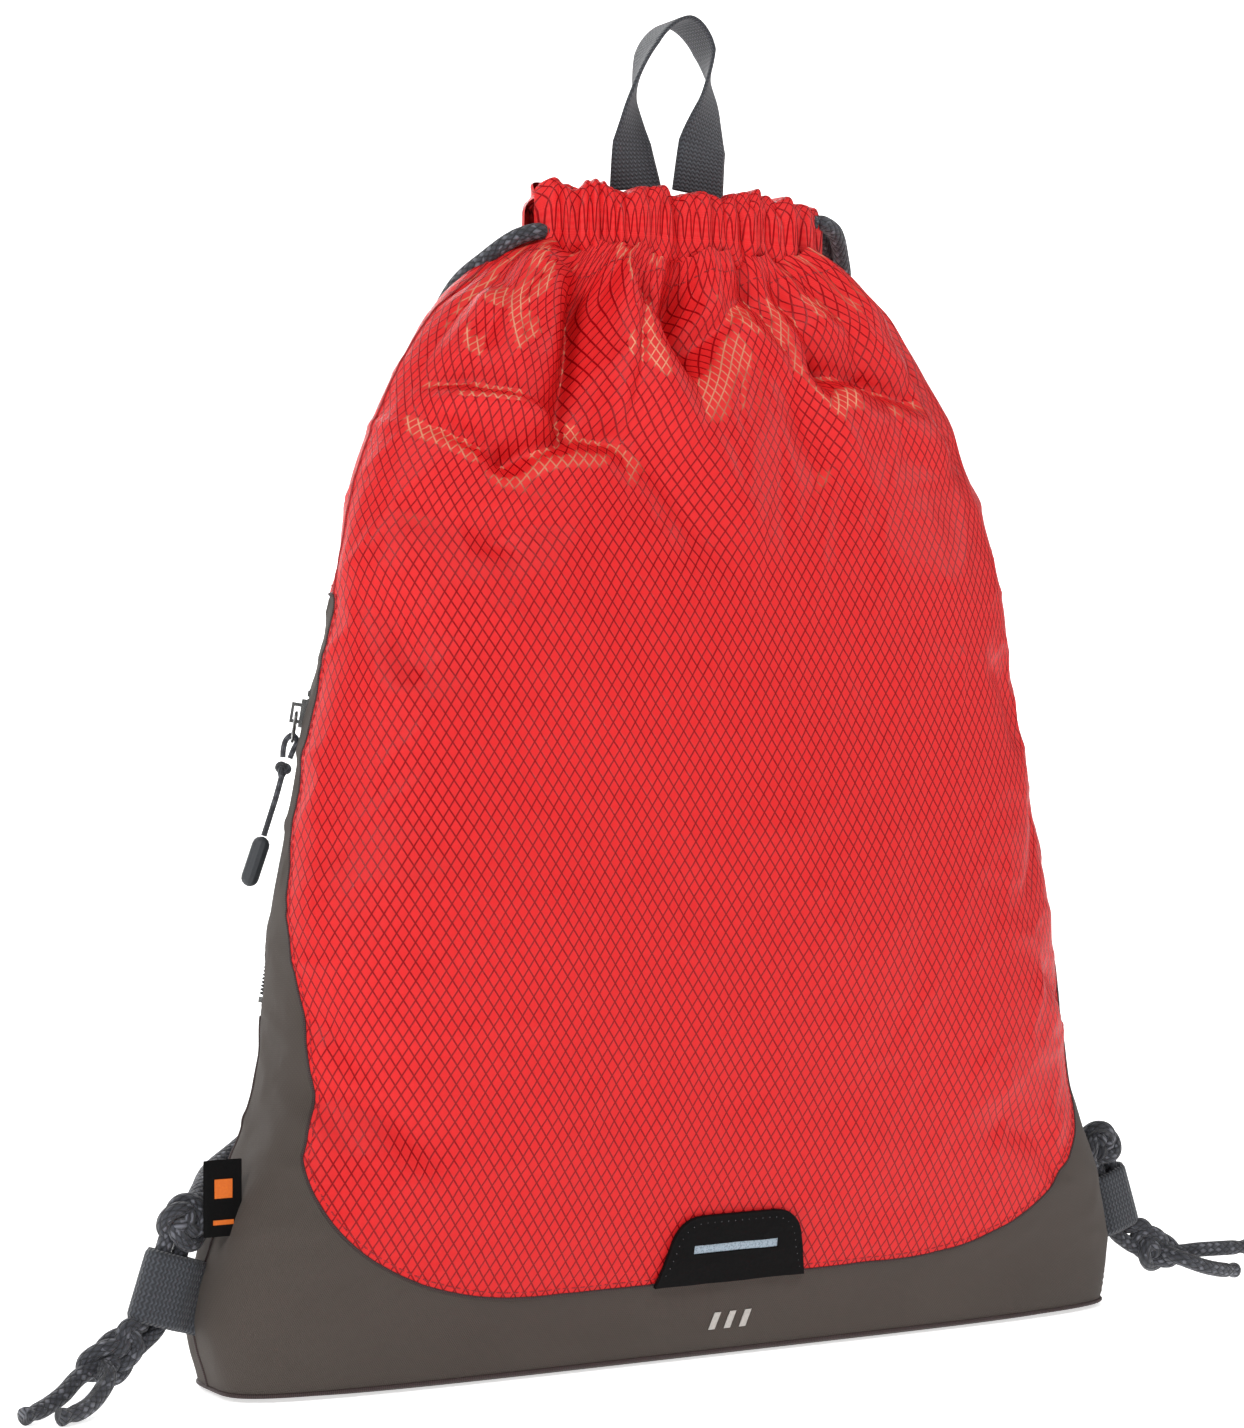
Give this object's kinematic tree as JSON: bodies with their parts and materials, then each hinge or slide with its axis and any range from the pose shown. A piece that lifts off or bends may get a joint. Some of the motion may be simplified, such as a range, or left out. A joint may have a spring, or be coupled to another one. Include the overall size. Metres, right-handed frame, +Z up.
{
  "type": "drawstring backpack",
  "caption": "Small upright drawstring backpack with cinched neck, haul loop, grey boot, side zip pocket and cords knotted through webbing tabs.",
  "frame": {"origin": "on the ground, at the middle of the bag's footprint box without its cords", "axes": "+X to the right seen from the front, front of the bag towards -Y, +Z up"},
  "size_m": [0.5258, 0.1303, 0.4898],
  "materials": {
    "red_ripstop": "coated ripstop cloth with a slight sheen",
    "grey_twill": "fine twill with a faint sheen",
    "webbing": "flat woven webbing",
    "cord_braid": "round braided cord",
    "black_trim": "smooth coated cloth",
    "reflective_tape": "reflective tape",
    "zip_tape": "woven tape",
    "zip_coil": "nylon coil",
    "zip_metal": "plated die-cast metal and wire",
    "pull_rubber": "moulded matte grip",
    "lining": "plain lining cloth"
  },
  "bodies": {
    "bag": {"back_panel": "grey_twill", "back_yoke": "red_ripstop", "base_panel": "grey_twill", "boot_panel": "grey_twill", "cord_link_left_a": "cord_braid", "cord_link_left_b": "cord_braid", "cord_link_right_a": "cord_braid", "cord_link_right_b": "cord_braid", "cord_run_back_left": "cord_braid", "cord_run_back_right": "cord_braid", "cord_run_front_left": "cord_braid", "cord_run_front_right": "cord_braid", "cord_tail_left_a": "cord_braid", "cord_tail_left_b": "cord_braid", "cord_tail_right_a": "cord_braid", "cord_tail_right_b": "cord_braid", "corner_tab_left": "webbing", "corner_tab_right": "webbing", "front_panel": "red_ripstop", "haul_loop_end_left": "webbing", "haul_loop_end_right": "webbing", "hem_back": "red_ripstop", "hem_front": "red_ripstop", "knot_lower_left": "cord_braid", "knot_lower_right": "cord_braid", "knot_upper_left": "cord_braid", "knot_upper_right": "cord_braid", "pocket_lining": "lining", "reflective_bar": "reflective_tape", "reflector_patch": "black_trim", "side_label": "black_trim", "strand_left_a": "cord_braid", "strand_left_b": "cord_braid", "strand_right_a": "cord_braid", "strand_right_b": "cord_braid", "zip_bottom_stop": "zip_metal", "zip_coil_front": "zip_coil", "zip_coil_rear": "zip_coil", "zip_tape_front": "zip_tape", "zip_tape_rear": "zip_tape", "zip_top_stop": "zip_metal"},
    "slider": {"zip_slider": "zip_metal"},
    "ring": {"puller_ring": "zip_metal"},
    "pull": {"pull_cord_loop": "cord_braid", "pull_cord_knot": "cord_braid", "pull_cord_strand_a": "cord_braid", "pull_cord_strand_b": "cord_braid", "pull_grip": "pull_rubber"},
    "loop": {"haul_loop": "webbing"}
  },
  "joints": [
    {"name": "zip_slide", "type": "slide", "parent": "bag", "child": "slider", "axis": [-0.1747, 0, -0.9846], "range_m": [0, 0.08]},
    {"name": "ring_swing", "type": "hinge", "parent": "slider", "child": "ring", "pos_m": [-0.14591, 0.01767, 0.23343], "axis": [0.4371, 0.8961, -0.0775], "range_deg": [0, 120]},
    {"name": "pull_swing", "type": "hinge", "parent": "ring", "child": "pull", "pos_m": [-0.14765, 0.01767, 0.22359], "axis": [0.4371, 0.8961, -0.0775], "range_deg": [0, 50]},
    {"name": "loop_tilt", "type": "hinge", "parent": "bag", "child": "loop", "pos_m": [0, 0.0076, 0.4262], "axis": [1, 0, 0], "range_deg": [-30, 30], "stiffness_Nm_per_rad": 0.02}
  ]
}
